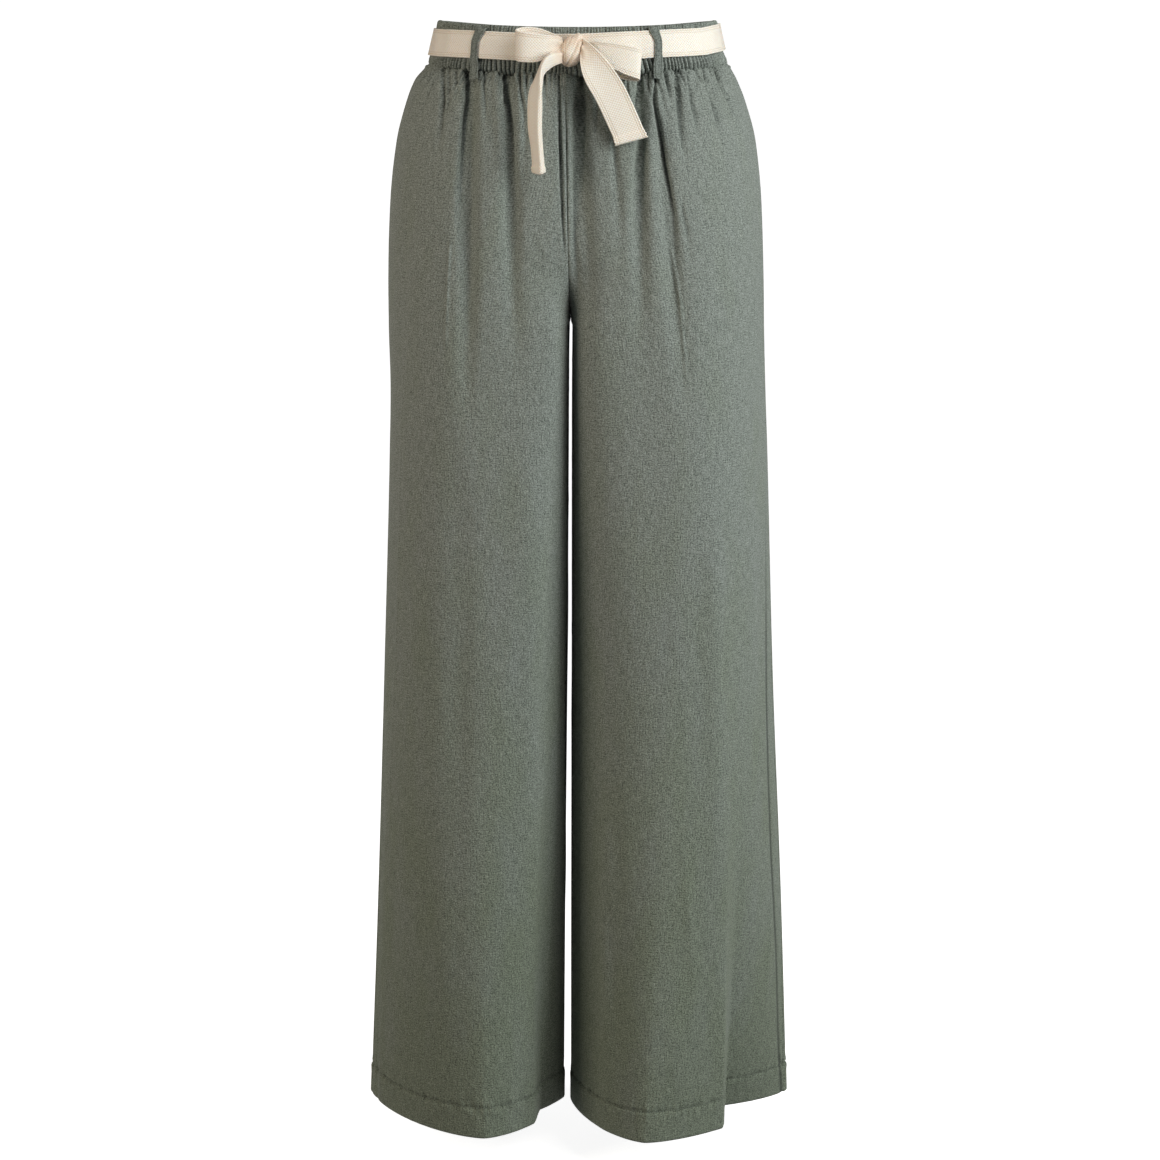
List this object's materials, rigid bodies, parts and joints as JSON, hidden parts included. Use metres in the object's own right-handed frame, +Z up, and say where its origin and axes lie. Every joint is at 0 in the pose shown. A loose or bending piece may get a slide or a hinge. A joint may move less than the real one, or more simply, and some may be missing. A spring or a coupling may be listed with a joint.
{
  "type": "linen drawstring trousers",
  "caption": "Wide-leg sage green linen trousers with a gathered elastic waistband, belt loops and a cream woven tape belt tied in a bow.",
  "frame": {"origin": "middle of the waist opening, halfway up the waistband, where the wearer holds the trousers", "axes": "+Z up along the body, the front faces -Y, +X is the wearer's left"},
  "size_m": [0.414, 0.2762, 1.0528],
  "materials": {
    "linen": "matte",
    "woven_tape": "matte"
  },
  "bodies": {
    "root": {"front_left": "linen", "front_right": "linen", "back_left": "linen", "back_right": "linen", "waistband": "linen", "belt_loop_front_left": "linen", "belt_loop_front_right": "linen", "belt_loop_back_left": "linen", "belt_loop_back_right": "linen", "belt": "woven_tape", "belt_knot": "woven_tape", "bow_loop_left": "woven_tape", "bow_loop_right": "woven_tape", "belt_end_left": "woven_tape", "belt_end_right": "woven_tape"}
  },
  "joints": []
}
